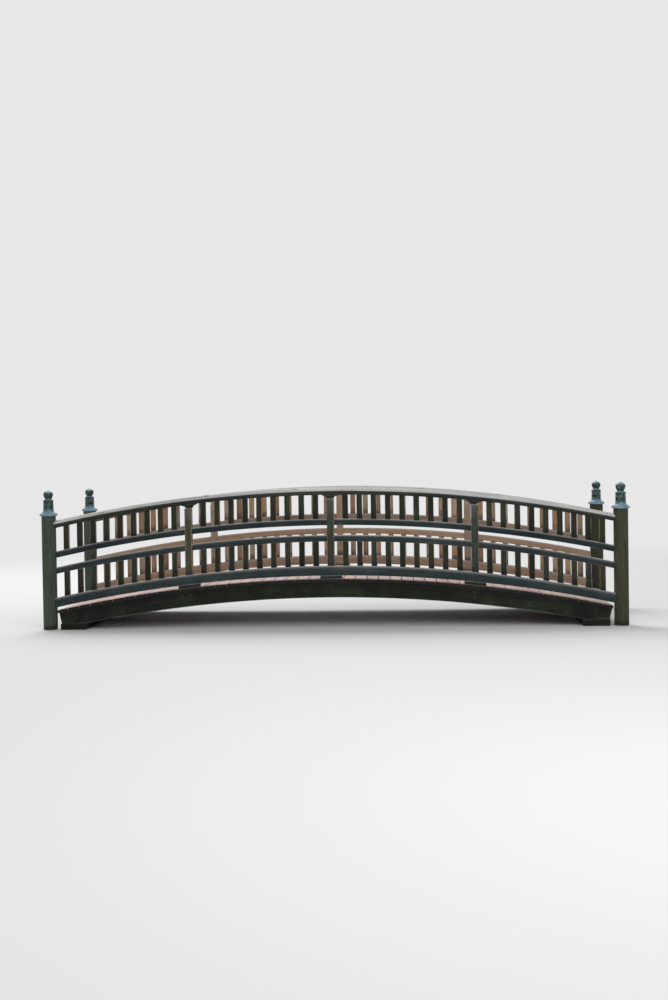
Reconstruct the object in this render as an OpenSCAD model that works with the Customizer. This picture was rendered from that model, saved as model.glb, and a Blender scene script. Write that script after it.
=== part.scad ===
// Arched timber garden bridge with two curved railings, in millimetres.
// X runs along the bridge, Y across it and Z up. The origin is on the ground at the middle.
// Front is -Y, back is +Y, left is -X and right is +X.

/* [Arch] */
// Distance between the centres of the end posts
span = 7200; // [6600:100:8000]
// Rise of the deck from the end posts to the crown
rise = 390; // [300:10:480]
// Height of the deck line above the ground at the end posts
end_height = 225; // [205:5:300]

/* [Deck and girders] */
// Width of the deck across the bridge
deck_width = 2120; // [1800:20:2600]
// Thickness of the deck boards
deck_thickness = 38; // [32:1:50]
// Depth of each arched girder
girder_depth = 200; // [170:10:240]
// Width of each arched girder
girder_width = 140; // [100:10:180]
// Height of the bearing sill under the girder heels
sill_height = 80; // [60:5:100]
// Width of the bearing sill along the bridge
sill_width = 330; // [240:10:330]

/* [Railings] */
// How far each railing's middle plane stands in from the deck edge
railing_inset = 60; // [55:5:120]
// Height of the drain gap under the bottom rail
drain_gap = 40; // [25:5:60]
// Depth of the bottom rail
bottom_rail_depth = 120; // [90:5:140]
// Width of the bottom rail
bottom_rail_width = 100; // [92:2:110]
// Height of the slats in the lower tier
lower_slat_height = 306; // [200:2:360]
// Depth of the two middle rails
middle_rail_depth = 80; // [60:2:100]
// Thickness of the two middle rails
middle_rail_width = 56; // [44:2:70]
// Open gap between the two middle rails
open_gap = 125; // [80:5:180]
// Height of the slats in the upper tier
upper_slat_height = 301; // [200:1:360]
// Radius of the round top rail
top_rail_radius = 51; // [42:1:60]
// How far the flat underside of the top rail lies below its centre line
top_rail_flat = 41; // [30:1:41]

/* [Posts and slats] */
// Side of the square posts
post_side = 90; // [80:2:100]
// Radius of the round end posts
end_post_radius = 90; // [75:5:100]
// Number of slats between two posts
slats_per_bay = 9; // [6:1:10]
// Width of a slat along the bridge
slat_width = 72; // [50:2:80]
// Thickness of a slat
slat_thickness = 38; // [25:1:42]
// Length of the block under the bottom rail at each post
block_length = 270; // [180:10:360]
// Length of the saddle under the top rail at each post
saddle_length = 200; // [140:10:260]
// Depth of the saddle under the top rail
saddle_depth = 45; // [30:1:60]

/* [Finials] */
// Overall height of a finial
finial_height = 330; // [300:5:400]
// Radius of the skirt that laps over the post
skirt_radius = 112; // [108:1:125]
// Radius of the finial's body
body_radius = 64; // [56:1:70]
// Largest radius of the finial's bulb
bulb_radius = 61; // [52:1:70]

/* [Hidden] */

front = -1;
back = 1;
left = -1;
right = 1;
bays = 4;
bay = span / bays;
arc_facets = 720;
round_facets = 72;
railing_y = deck_width / 2 - railing_inset;

// Every beam's top face bends to the same radius, as if cut from one template, so slats of a tier are alike.
arc_radius = (pow(span / 2, 2) + pow(rise, 2)) / (2 * rise);

// An arc is held as its height at the crown and its radius. Its centre lies midway along the bridge.
function lowered(arc, depth) = [arc[0] - depth, arc[1] - depth];

// Height above the ground of an arc at a distance x from the crown.
function height_at(arc, x) = arc[0] - arc[1] + sqrt(arc[1] * arc[1] - x * x);

// Top face of a beam whose underside is at a given height at the crown.
function top_over(under_crown, depth) = [under_crown + depth, arc_radius];

// Faces of the arched pieces, from the deck up. The girders share the deck's centre.
deck_top = [end_height + rise, arc_radius];
girder_top = lowered(deck_top, deck_thickness);
bottom_rail_top = top_over(deck_top[0] + drain_gap, bottom_rail_depth);
bottom_rail_under = lowered(bottom_rail_top, bottom_rail_depth);
lower_rail_top = top_over(bottom_rail_top[0] + lower_slat_height, middle_rail_depth);
lower_rail_under = lowered(lower_rail_top, middle_rail_depth);
upper_rail_top = top_over(lower_rail_top[0] + open_gap, middle_rail_depth);
top_rail_top = top_over(upper_rail_top[0] + upper_slat_height, top_rail_flat + top_rail_radius);
top_rail_under = lowered(top_rail_top, top_rail_flat + top_rail_radius);

// Where the long pieces end: the deck clears the end posts and the rails are housed in them.
end_clearance = 10;
deck_end = span / 2 - end_post_radius - end_clearance;
girder_end = deck_end - 20;
rail_end = span / 2 - 40;
girder_y = deck_width / 2 - girder_width / 2 - 30;
sill_overhang = 50;
sill_inset = 30;

// Cross braces stand between the girders, just under their top faces.
brace_thickness = 60;
brace_depth = 120;
brace_drop = 30;
brace_places = [-deck_end + 200, -bay, 0, bay, deck_end - 200];

// The two halves of a swept beam lap by this angle at the crown, so that they join into one.
crown_lap = 0.05;

// A hairline at joints where a flat end meets an arched face, so that they don't cut into each other.
seat = 0.2;
finial_lap = 25;

// Middle of a post, counted from the left end post.
function post_x(i) = -span / 2 + i * bay;

// Sweeps a profile along an arc, both ways from the crown, as far as x_end. The profile's X is counted
// upwards from the arc and its Y lies across the bridge.
module along_arc(arc, x_end) {
    angle = asin(x_end / arc[1]);
    translate([0, 0, arc[0] - arc[1]])
        for (side = [0, 1])
            mirror([side, 0, 0])
                rotate([90, 0, 0])
                    rotate([0, 0, 90 - angle])
                        rotate_extrude(angle = angle + crown_lap, $fn = arc_facets)
                            translate([arc[1], 0])
                                children();
}

// A beam of rectangular section that hangs below its top face.
module arched_beam(top_face, depth, width, x_end) {
    along_arc(top_face, x_end)
        translate([-depth, -width / 2])
            square([depth, width]);
}

// An upright piece between two arcs, with both ends cut to their slope.
module upright(x, width, thickness, foot, head) {
    x_low = x - width / 2;
    x_high = x + width / 2;
    rotate([90, 0, 0])
        linear_extrude(thickness, center = true)
            polygon([
                [x_low, height_at(foot, x_low) + seat],
                [x_high, height_at(foot, x_high) + seat],
                [x_high, height_at(head, x_high)],
                [x_low, height_at(head, x_low)]
            ]);
}

module bottom_rail_shape() {
    arched_beam(bottom_rail_top, bottom_rail_depth, bottom_rail_width, rail_end);
}

module lower_rail_shape() {
    arched_beam(lower_rail_top, middle_rail_depth, middle_rail_width, rail_end);
}

module upper_rail_shape() {
    arched_beam(upper_rail_top, middle_rail_depth, middle_rail_width, rail_end);
}

// The round top rail, with a flat planed along its underside for the saddles and slats.
module top_rail_shape() {
    along_arc(top_rail_top, rail_end)
        translate([-top_rail_radius, 0])
            intersection() {
                circle(top_rail_radius, $fn = round_facets);
                translate([-top_rail_flat, -top_rail_radius])
                    square([top_rail_flat + top_rail_radius, 2 * top_rail_radius]);
            }
}

// Timber bearing under the heels of the girders.
module sill(end) {
    outer_x = girder_end - sill_inset;
    color([0.24, 0.20, 0.17])
        translate([end * (outer_x - sill_width / 2), 0, sill_height / 2])
            cube([sill_width, 2 * girder_y + girder_width + 2 * sill_overhang, sill_height], center = true);
}

// Arched girder whose heels are cut level to sit on the sills.
module girder(y) {
    cut_depth = 1000;
    color([0.22, 0.19, 0.17])
        translate([0, y, 0])
            difference() {
                arched_beam(girder_top, girder_depth, girder_width, girder_end);
                translate([-span / 2, -girder_width, sill_height - cut_depth])
                    cube([span, 2 * girder_width, cut_depth]);
            }
}

// Short timbers that hold the three girders upright and apart.
module girder_braces() {
    length = girder_y - girder_width;
    color([0.26, 0.22, 0.19])
        for (x = brace_places, side = [front, back])
            translate([
                x,
                side * girder_y / 2,
                height_at(girder_top, abs(x) + brace_thickness / 2) - brace_drop - brace_depth / 2
            ])
                cube([brace_thickness, length, brace_depth], center = true);
}

// Curved deck of boards laid across the girders.
module deck() {
    color([0.62, 0.57, 0.54])
        arched_beam(deck_top, deck_thickness, deck_width, deck_end);
}

// Blocks that hold the bottom rail clear of the deck at each post.
module blocks(side) {
    color([0.30, 0.27, 0.25])
        translate([0, side * railing_y, 0])
            for (i = [1 : bays - 1])
                upright(post_x(i), block_length, bottom_rail_width, deck_top, bottom_rail_under);
}

module bottom_rail(side) {
    color([0.34, 0.30, 0.28])
        translate([0, side * railing_y, 0])
            bottom_rail_shape();
}

module lower_rail(side) {
    color([0.38, 0.33, 0.29])
        translate([0, side * railing_y, 0])
            lower_rail_shape();
}

module upper_rail(side) {
    color([0.38, 0.33, 0.29])
        translate([0, side * railing_y, 0])
            upper_rail_shape();
}

module top_rail(side) {
    color([0.66, 0.63, 0.63])
        translate([0, side * railing_y, 0])
            top_rail_shape();
}

// Boat-shaped brackets between the posts and the top rail, with hollow-cut ends.
module saddles(side) {
    lip = 10;
    steps = 6;
    reach = (saddle_length - post_side) / 2;
    // Half outline from the middle of the top out to the tip and down the hollow end to the post.
    half = concat(
        [[saddle_length / 2, 0]],
        [for (k = [0 : steps])
            let (a = 90 * k / steps)
            [post_side / 2 + reach * (1 - sin(a)), lip + (saddle_depth - lip) * (1 - cos(a))]]
    );
    outline = concat(half, [for (k = [len(half) - 1 : -1 : 0]) [-half[k][0], half[k][1]]]);
    color([0.42, 0.37, 0.34])
        translate([0, side * railing_y, 0])
            rotate([90, 0, 0])
                linear_extrude(middle_rail_width, center = true)
                    for (i = [1 : bays - 1])
                        polygon([for (point = outline)
                            let (x = post_x(i) + point[0])
                            [x, height_at(top_rail_under, x) - point[1]]]);
}

// Square post that stands on the bottom rail, with the middle rails passing through its mortises.
module post(side, i) {
    saddle_under = lowered(top_rail_under, saddle_depth + 2 * seat);
    color([0.36, 0.32, 0.29])
        translate([0, side * railing_y, 0])
            difference() {
                upright(post_x(i), post_side, post_side, bottom_rail_top, saddle_under);
                lower_rail_shape();
                upper_rail_shape();
            }
}

// Round end post, with a mortise for each of the four rails. The right posts mirror the left ones.
module end_post(side, end) {
    color([0.37, 0.33, 0.31])
        translate([0, side * railing_y, 0])
            mirror([end == right ? 1 : 0, 0, 0])
                difference() {
                    translate([-span / 2, 0, 0])
                        cylinder(h = end_post_top, r = end_post_radius, $fn = round_facets);
                    bottom_rail_shape();
                    lower_rail_shape();
                    upper_rail_shape();
                    top_rail_shape();
                }
}

// The skirt's lower edge sits just above the top rail where it enters the end post.
skirt_clearance = 81;
skirt_bottom = height_at(top_rail_top, span / 2) + skirt_clearance;
end_post_top = skirt_bottom + finial_lap;

// Heights on the finial, counted from the lower edge of its skirt.
rim_height = 30;
rim_edge = 4;
flare_radius = skirt_radius - 6;
flare_top = 80;
flare_width = flare_radius - body_radius;
flare_height = flare_top - rim_height;
band_height = 8;
band_proud = 4;
neck_low = 200;
neck_high = 222;
neck_radius = 42;
lip_radius = 66;
bulb_middle = 275;
tip_drop = 11;
curve_steps = 10;

// Half outline of the finial: rim, hollow flare, banded body, hollow neck, bulb and tip.
finial_outline = concat(
    [[0, 0], [skirt_radius - rim_edge, 0], [skirt_radius, rim_edge]],
    [[skirt_radius, rim_height - rim_edge], [skirt_radius - rim_edge, rim_height]],
    [for (k = [0 : curve_steps])
        let (a = 90 * k / curve_steps)
        [flare_radius - flare_width * sin(a), flare_top - flare_height * cos(a)]],
    [[body_radius + band_proud, flare_top], [body_radius + band_proud, flare_top + band_height]],
    [[body_radius, flare_top + band_height], [body_radius - 2, neck_low - 3 * band_height]],
    [[lip_radius, neck_low - band_height], [lip_radius, neck_low]],
    [for (k = [1 : curve_steps])
        let (a = 90 * k / curve_steps)
        [lip_radius - (lip_radius - neck_radius) * sin(a), neck_high - (neck_high - neck_low) * cos(a)]],
    [for (k = [1 : curve_steps])
        let (a0 = acos(neck_radius / bulb_radius), a = -a0 * (1 - k / curve_steps))
        [bulb_radius * cos(a), bulb_middle + (bulb_middle - neck_high) * sin(a) / sin(a0)]],
    [for (k = [1 : curve_steps])
        let (a = 80 * k / curve_steps)
        [bulb_radius * cos(a), bulb_middle + (finial_height - tip_drop - bulb_middle) * sin(a) / sin(80)]],
    [[0, finial_height]]
);

// Metal cap with a bulb on a waisted body, lapped over the head of an end post.
module finial(side, end) {
    color([0.25, 0.30, 0.36])
        translate([end * span / 2, side * railing_y, skirt_bottom])
            difference() {
                rotate_extrude($fn = round_facets)
                    polygon(finial_outline);
                translate([0, 0, -1])
                    cylinder(h = finial_lap + 1, r = end_post_radius + seat, $fn = round_facets);
            }
}

// Slats of both tiers in one bay, evenly spaced between the two posts.
module slats(side, bay_number) {
    left_face = post_x(bay_number - 1) + (bay_number == 1 ? end_post_radius : post_side / 2);
    right_face = post_x(bay_number) - (bay_number == bays ? end_post_radius : post_side / 2);
    clear = right_face - left_face;
    gap = (clear - slats_per_bay * slat_width) / (slats_per_bay + 1);
    color([0.40, 0.35, 0.32])
        translate([0, side * railing_y, 0])
            for (k = [1 : slats_per_bay]) {
                x = left_face + k * (gap + slat_width) - slat_width / 2;
                upright(x, slat_width, slat_thickness, bottom_rail_top, lower_rail_under);
                upright(x, slat_width, slat_thickness, upper_rail_top, top_rail_under);
            }
}

sill(left);  // sill_left
sill(right);  // sill_right
girder(front * girder_y);  // girder_front
girder(0);  // girder_middle
girder(back * girder_y);  // girder_back
girder_braces();
deck();
blocks(front);  // blocks_front
blocks(back);  // blocks_back
bottom_rail(front);  // bottom_rail_front
bottom_rail(back);  // bottom_rail_back
lower_rail(front);  // lower_rail_front
lower_rail(back);  // lower_rail_back
upper_rail(front);  // upper_rail_front
upper_rail(back);  // upper_rail_back
top_rail(front);  // top_rail_front
top_rail(back);  // top_rail_back
saddles(front);  // saddles_front
saddles(back);  // saddles_back
post(front, 1);  // post_front_1
post(front, 2);  // post_front_2
post(front, 3);  // post_front_3
post(back, 1);  // post_back_1
post(back, 2);  // post_back_2
post(back, 3);  // post_back_3
end_post(front, left);  // end_post_front_left
end_post(front, right);  // end_post_front_right
end_post(back, left);  // end_post_back_left
end_post(back, right);  // end_post_back_right
finial(front, left);  // finial_front_left
finial(front, right);  // finial_front_right
finial(back, left);  // finial_back_left
finial(back, right);  // finial_back_right
slats(front, 1);  // slats_front_1
slats(front, 2);  // slats_front_2
slats(front, 3);  // slats_front_3
slats(front, 4);  // slats_front_4
slats(back, 1);  // slats_back_1
slats(back, 2);  // slats_back_2
slats(back, 3);  // slats_back_3
slats(back, 4);  // slats_back_4
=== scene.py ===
"""Timber, metalwork and finishes of an arched garden footbridge, modelled on its packed construction."""

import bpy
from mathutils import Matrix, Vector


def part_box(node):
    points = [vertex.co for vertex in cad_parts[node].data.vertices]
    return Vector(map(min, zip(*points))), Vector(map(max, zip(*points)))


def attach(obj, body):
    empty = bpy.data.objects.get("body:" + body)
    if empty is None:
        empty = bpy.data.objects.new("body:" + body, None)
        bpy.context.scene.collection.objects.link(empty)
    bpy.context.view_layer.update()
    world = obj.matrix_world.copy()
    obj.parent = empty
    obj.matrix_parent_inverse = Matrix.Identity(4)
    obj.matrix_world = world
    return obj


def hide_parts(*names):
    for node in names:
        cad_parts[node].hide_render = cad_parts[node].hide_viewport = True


bl_info = {
    "name": "Arched Garden Footbridge",
    "version": (1, 0, 0),
    "blender": (4, 5, 0),
    "location": "3D View > Sidebar > Footbridge",
    "description": "Models the timbers, boards, metal caps and finishes of an arched garden footbridge",
    "category": "Add Mesh",
}

import math
import random
from contextlib import contextmanager

import bpy
import numpy as np
from bpy.props import FloatProperty, FloatVectorProperty, IntProperty, PointerProperty
from mathutils import Quaternion, Vector
from mathutils.kdtree import KDTree

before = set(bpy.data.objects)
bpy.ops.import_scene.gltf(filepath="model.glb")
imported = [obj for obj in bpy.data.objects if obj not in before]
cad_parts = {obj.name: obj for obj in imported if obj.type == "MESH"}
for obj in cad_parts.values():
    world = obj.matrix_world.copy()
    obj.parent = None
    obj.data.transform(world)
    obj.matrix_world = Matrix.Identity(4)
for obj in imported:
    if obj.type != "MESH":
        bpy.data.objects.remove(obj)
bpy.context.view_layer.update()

# Each side of the bridge, and the way along y that its outer face points
SIDES = {"front": -1, "back": 1}
ENDS = ("left", "right")
GIRDERS = ("front", "middle", "back")
MIDDLE_POSTS = (1, 2, 3)
BAYS = (1, 2, 3, 4)
HALF_SPAN = sum(corner.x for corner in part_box("end_post_front_right")) / 2


def a_length(name, description, default, low=0.0, high=100.0):
    """A length that a user may change, with its lowest and highest values."""
    return FloatProperty(
        name=name, description=description, default=default, min=low, max=high, unit="LENGTH",
    )


def some_lengths(name, description, default, subtype="NONE"):
    """Two or three lengths that a user may change together."""
    return FloatVectorProperty(
        name=name, description=description, default=default, size=len(default), unit="LENGTH",
        subtype=subtype,
    )


def a_place(name, description, default):
    """A place that a user may change."""
    return some_lengths(name, description, default, "XYZ")


def an_angle(name, description, degrees):
    """An angle that a user may change."""
    return FloatProperty(name=name, description=description, default=math.radians(degrees), subtype="ANGLE")


def a_number(name, description, default, low, high):
    """A whole number that a user may change, with its lowest and highest values."""
    return IntProperty(name=name, description=description, default=default, min=low, max=high)


def a_level(name, description, default):
    """A plain number above zero that a user may change."""
    return FloatProperty(name=name, description=description, default=default, min=0)


def a_colour(name, description, default):
    """A colour that a user may change, as linear red, green and blue."""
    return FloatVectorProperty(
        name=name, description=description, default=default, size=3, min=0, max=1, subtype="COLOR",
    )


class FootbridgeSizes(bpy.types.PropertyGroup):
    """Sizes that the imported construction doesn't give by itself."""

    rise: a_length("Rise", "Rise of every arc between the end posts and the crown", 0.39, 0.3, 0.48)
    girder_depth: a_length("Girder depth", "Depth of each arched girder", 0.2, 0.17, 0.24)
    brace_inset: a_length(
        "Brace inset", "From the deck's end to the middle of the last brace", 0.2, 0.1, 0.5,
    )
    slat_width: a_length("Slat width", "Width of a railing slat along the bridge", 0.072, 0.05, 0.08)
    slats_per_bay: a_number("Slats per bay", "Slats in one tier between two posts", 9, 6, 10)
    saddle_depth: a_length(
        "Saddle depth", "Depth of the bracket between a post and the top rail", 0.045, 0.03, 0.06,
    )
    saddle_length: a_length("Saddle length", "Length of the bracket along the top rail", 0.2, 0.14, 0.26)
    block_length: a_length(
        "Block length", "Length of the block under the bottom rail at a post", 0.27, 0.18, 0.36,
    )
    rail_flat: a_length(
        "Top rail flat", "From the top rail's centre line down to its planed underside", 0.041, 0.03, 0.041,
    )
    deck_boards: a_number("Deck boards", "Number of cross boards in the deck", 48, 30, 60)
    deck_gap: a_length("Deck gap", "Open joint between two deck boards", 0.008, 0.003, 0.015)
    eased_edge: a_length(
        "Eased edge", "Width of the worn arris along the edges of rails and slats", 0.004, 0.001, 0.01,
    )
    worn_edge: a_length(
        "Worn edge", "Width of the worn arris along the edges of the heavy timbers", 0.008, 0.002, 0.02,
    )
    curve_steps: a_number("Curve steps", "Straight lengths that make up each swept arc", 96, 32, 160)


class FootbridgeColours(bpy.types.PropertyGroup):
    """Colours of the finishes, as linear values."""

    # Shaded wood is darker than the wood's own colour: painted shade on faces out of the sun
    shaded_wood: a_colour("Shaded wood", "Weathered wood on faces out of the sun", (0.027, 0.03, 0.021))
    # Its blue cast is partly painted sky light on faces in shade
    sky_tinted_rail_wood: a_colour(
        "Sky-tinted rail wood", "Blue-grey wood of the squared rails and their blocks", (0.028, 0.039, 0.041),
    )
    post_wood: a_colour(
        "Post wood", "Green-grey wood of the round and the square posts", (0.058, 0.064, 0.046),
    )
    # Painted bounce light from the sunlit deck: lighter and browner than the wood's own colour
    bounce_lit_wood: a_colour(
        "Bounce-lit wood", "Browner wood on the faces towards the walkway", (0.44, 0.31, 0.213),
    )
    # Real bleaching and painted sunlight together on faces that look up
    bleached_wood: a_colour(
        "Silvered and sunlit wood", "Silvered wood where sun and rain fall from above", (0.6, 0.585, 0.58),
    )
    # Paler than the boards' own colour: partly painted sunlight
    deck_wood: a_colour("Deck wood", "Walked and sun-bleached deck boards", (0.73, 0.55, 0.526))
    # Darker than the timber's own colour: partly painted shade under the deck
    girder_wood: a_colour("Girder wood", "Old damp timber under the deck", (0.023, 0.025, 0.018))
    # Also the colour of painted shade at the feet, under the deck and on the deck's faces that don't look up
    damp_stain_and_shade: a_colour("Damp stain and shade", "Dark stain at joints and feet", (0.011, 0.011, 0.009))
    algae: a_colour("Algae", "Green film on damp timber", (0.022, 0.036, 0.016))
    dark_metal: a_colour("Dark metal", "Bare dark bronze of the caps", (0.043, 0.066, 0.055))
    # Also the colour of the painted highlight on the caps' skirts and tops
    patina_and_highlight: a_colour("Patina and highlight", "Blue-grey patina on the caps", (0.23, 0.36, 0.46))
    iron: a_colour("Iron", "Dark iron of the bolts and nails", (0.018, 0.017, 0.016))
    rust: a_colour("Rust", "Rust on the bolts and nails", (0.04, 0.022, 0.014))
    studio: a_colour("Studio", "Pale floor and background", (0.8, 0.8, 0.8))


def sizes():
    return bpy.context.scene.footbridge_sizes


def colours():
    return bpy.context.scene.footbridge_colours


class Arch:
    """The curve of one long timber, read from its node's box."""

    def __init__(self, node, inset=0.0):
        low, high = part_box(node)
        self.radius = (HALF_SPAN**2 + sizes().rise**2) / (2 * sizes().rise) - inset
        self.crown = high.z
        self.reach = high.x
        self.y = (low.y + high.y) / 2
        self.width = high.y - low.y
        self.centre_z = self.crown - self.radius
        self.angle = math.asin(self.reach / self.radius)
        self.depth = self.radius - (low.z - self.centre_z) / math.cos(self.angle)

    @property
    def centre(self):
        return Vector((0, self.y, self.centre_z))

    def tilt(self, x):
        """Slope of the curve at a distance x from the crown, as an angle."""
        return math.asin(x / self.radius)

    def outward(self, x):
        """Direction square to the curve at x."""
        return Vector((x, 0, math.sqrt(self.radius**2 - x**2))).normalized()

    def point(self, x, drop=0.0):
        """Point on the curve at x, or a given drop below it."""
        return self.centre + self.outward(x) * (self.radius - drop)

    def sloped(self, x, drop=0.0):
        """A sawing plane along the curve at x: a point on it and its upward direction."""
        return self.point(x, drop), self.outward(x)


def post_middle(side, number):
    low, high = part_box(f"post_{side}_{number}")
    return (low + high) / 2


def railing_arches(side):
    lines = ("bottom_rail", "lower_rail", "upper_rail", "top_rail")
    return {line: Arch(f"{line}_{side}") for line in lines}


def brace_places():
    """Distances from the crown at which the girders are braced and bolted."""
    bay = post_middle("front", 3).x
    last = Arch("deck").reach - sizes().brace_inset
    return (-last, -bay, 0, bay, last)


def board_pitch(deck):
    """Angle round the deck's curve from one board to the next."""
    return 2 * deck.angle / sizes().deck_boards


def board_angles(deck):
    """Angle round the deck's curve at the middle of each board."""
    return [-deck.angle + (number + 0.5) * board_pitch(deck) for number in range(sizes().deck_boards)]


# Workbench


def lay_down_tools():
    """Leave edit mode and deselect everything."""
    if bpy.context.object and bpy.context.object.mode != "OBJECT":
        bpy.ops.object.mode_set(mode="OBJECT")
    bpy.ops.object.select_all(action="DESELECT")


@contextmanager
def whole_mesh():
    """Edit mode with all of the active object's mesh selected."""
    bpy.ops.object.mode_set(mode="EDIT")
    bpy.ops.mesh.select_all(action="SELECT")
    yield
    bpy.ops.object.mode_set(mode="OBJECT")


def pick(piece, mode, chosen):
    """Select only the chosen vertices, edges or faces, and enter edit mode."""
    indices = [item.index for item in chosen]
    bpy.ops.object.mode_set(mode="EDIT")
    bpy.ops.mesh.select_mode(type=mode)
    bpy.ops.mesh.select_all(action="DESELECT")
    bpy.ops.object.mode_set(mode="OBJECT")
    items = {"VERT": piece.data.vertices, "EDGE": piece.data.edges, "FACE": piece.data.polygons}[mode]
    for index in indices:
        items[index].select = True
    bpy.ops.object.mode_set(mode="EDIT")


def settle():
    """Put the active object's place and size into its mesh and return it."""
    bpy.ops.object.transform_apply(location=True, rotation=True, scale=True)
    return bpy.context.object


def square_timber(low, high):
    """A squared timber between two corners, ready to be sawn."""
    lay_down_tools()
    low, high = Vector(low), Vector(high)
    bpy.ops.mesh.primitive_cube_add(size=1, location=(low + high) / 2, scale=high - low)
    return settle()


def saw(point, direction):
    """Saw the timber on a plane and take away the side that the direction points to."""
    with whole_mesh():
        bpy.ops.mesh.bisect(plane_co=point, plane_no=direction, use_fill=True, clear_outer=True)


def score(levels):
    """Cut a ring of edges round a post at each level, for its drying checks to follow."""
    with whole_mesh():
        for level in levels:
            bpy.ops.mesh.select_all(action="SELECT")
            bpy.ops.mesh.bisect(plane_co=(0, 0, level), plane_no=(0, 0, 1))


def sweep(arch):
    """Sweep the section that lies at the crown along the whole curve."""
    steps = sizes().curve_steps
    with whole_mesh():
        bpy.ops.transform.rotate(value=arch.angle, orient_axis="Y", center_override=arch.centre)
        bpy.ops.mesh.spin(steps=steps, angle=-2 * arch.angle, center=arch.centre, axis=(0, 1, 0))
        bpy.ops.mesh.select_all(action="SELECT")
        bpy.ops.mesh.normals_make_consistent(inside=False)


def turn_along(arch, x):
    """Turn a piece that was made at the crown along the curve, to a distance x from it."""
    with whole_mesh():
        bpy.ops.transform.rotate(value=-arch.tilt(x), orient_axis="Y", center_override=arch.centre)


def note(piece, name, kind, domain, values):
    """Write one attribute over a piece's mesh."""
    layer = piece.data.attributes.new(name, kind, domain)
    field = "vector" if kind == "FLOAT_VECTOR" else "value"
    layer.data.foreach_set(field, np.asarray(values, np.float32).ravel())


def places(piece):
    """The places of a piece's vertices, one row each."""
    flat = np.empty(len(piece.data.vertices) * 3, np.float32)
    piece.data.vertices.foreach_get("co", flat)
    return flat.reshape(-1, 3)


# Edges that turn by more than this are sharp enough to wear.
SHARP_ANGLE = math.radians(40)


def ease(piece, width, segments=2):
    """Round the sharp edges with a worn arris, and note which faces are worn."""
    while len(piece.data.materials) < 2:
        piece.data.materials.append(None)
    bpy.ops.object.modifier_add(type="BEVEL")
    arris = piece.modifiers[-1]
    arris.width = width
    arris.segments = segments
    arris.limit_method = "ANGLE"
    arris.angle_limit = SHARP_ANGLE
    arris.material = 1
    bpy.ops.object.modifier_apply(modifier=arris.name)
    worn = np.empty(len(piece.data.polygons), np.int32)
    piece.data.polygons.foreach_get("material_index", worn)
    note(piece, "worn", "FLOAT", "FACE", worn)
    piece.data.polygons.foreach_set("material_index", np.zeros(len(worn), np.int32))


# Timbers are taken from anywhere within this many metres of tree, so that no two show the same figure.
TREE_REACH = 40

# A distance beyond the reach of any stain or painted light and shade, for a timber that has no foot joint or
# no top edge.
OUT_OF_REACH = 1.0

# A face is end grain where its normal turns this far towards the grain, from 0 to 1.
ACROSS_THE_GRAIN = 0.6


def mark_grain(piece, chance, along="z", arch=None, foot=None, top=None, tint=None):
    """Note where each point of a timber lies, in metres, for its finish to read.

    The grain runs along the timber first and then across it, and chance moves each timber to another part of
    the tree. Foot is the height of the joint that darkens a timber with damp stain and painted shade, and
    top is that of its top edge, along which the finish paints sunlight and, on the girder timber, the deck's
    shadow.
    """
    spots = places(piece)
    x, y, z = spots.T
    far = np.full(len(spots), OUT_OF_REACH)
    if arch:
        run = np.arctan2(x, z - arch.centre_z) * arch.radius
        out = np.hypot(x, z - arch.centre_z) - arch.radius
        grain = np.stack([run, y - arch.y, out], 1)
        below = -out
    else:
        order = {"x": (0, 1, 2), "y": (1, 0, 2), "z": (2, 0, 1)}[along]
        middle = (spots.min(0) + spots.max(0)) / 2
        grain = (spots - middle)[:, order]
        below = far if top is None else top - z
    shift = [chance.uniform(0, TREE_REACH) for _ in range(3)]
    tint = chance.random() if tint is None else tint
    note(piece, "grain", "FLOAT_VECTOR", "POINT", grain + np.array(shift))
    note(piece, "tint", "FLOAT", "POINT", np.full(len(spots), tint))
    note(piece, "above_joint", "FLOAT", "POINT", far if foot is None else z - foot)
    note(piece, "below_top", "FLOAT", "POINT", below)
    ends = [cuts_grain(face, along, arch) for face in piece.data.polygons]
    note(piece, "end_grain", "FLOAT", "FACE", ends)


def cuts_grain(face, along, arch):
    """Whether a face shows end grain."""
    if arch:
        out = (face.center - arch.centre).normalized()
        return abs(face.normal.x * out.z - face.normal.z * out.x) > ACROSS_THE_GRAIN
    return abs(face.normal["xyz".index(along)]) > ACROSS_THE_GRAIN


def nearest(piece, run):
    """The index of the vertex nearest to each point of a run."""
    tree = KDTree(len(piece.data.vertices))
    for vertex in piece.data.vertices:
        tree.insert(vertex.co, vertex.index)
    tree.balance()
    return [tree.find(point)[1] for point in run]


def rounded_place(vertex):
    """A vertex's place to a tenth of a millimetre, by which it is known after later cuts."""
    return tuple(round(value, 4) for value in vertex.co)


def open_checks(piece, runs, width, depth):
    """Open a drying check along each run of points: a dark split that tapers out at both ends."""
    split = set()
    for run in runs:
        found = nearest(piece, run)
        spots = [piece.data.vertices[index].co.copy() for index in found]
        wanted = {frozenset(pair) for pair in zip(found, found[1:])}
        pick(piece, "EDGE", [edge for edge in piece.data.edges if frozenset(edge.vertices) in wanted])
        bpy.ops.mesh.bevel(offset=width / 2, segments=2, affect="EDGES")
        bpy.ops.object.mode_set(mode="OBJECT")
        bottom = [vertex for vertex in piece.data.vertices
                  if min((vertex.co - spot).length for spot in spots[1:-1]) < width / 4]
        pick(piece, "VERT", bottom)
        bpy.ops.transform.shrink_fatten(value=-depth)
        bpy.ops.object.mode_set(mode="OBJECT")
        split.update(rounded_place(vertex) for vertex in piece.data.vertices if vertex.select)
    inside = [rounded_place(vertex) in split for vertex in piece.data.vertices]
    note(piece, "split", "FLOAT", "POINT", inside)


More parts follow.
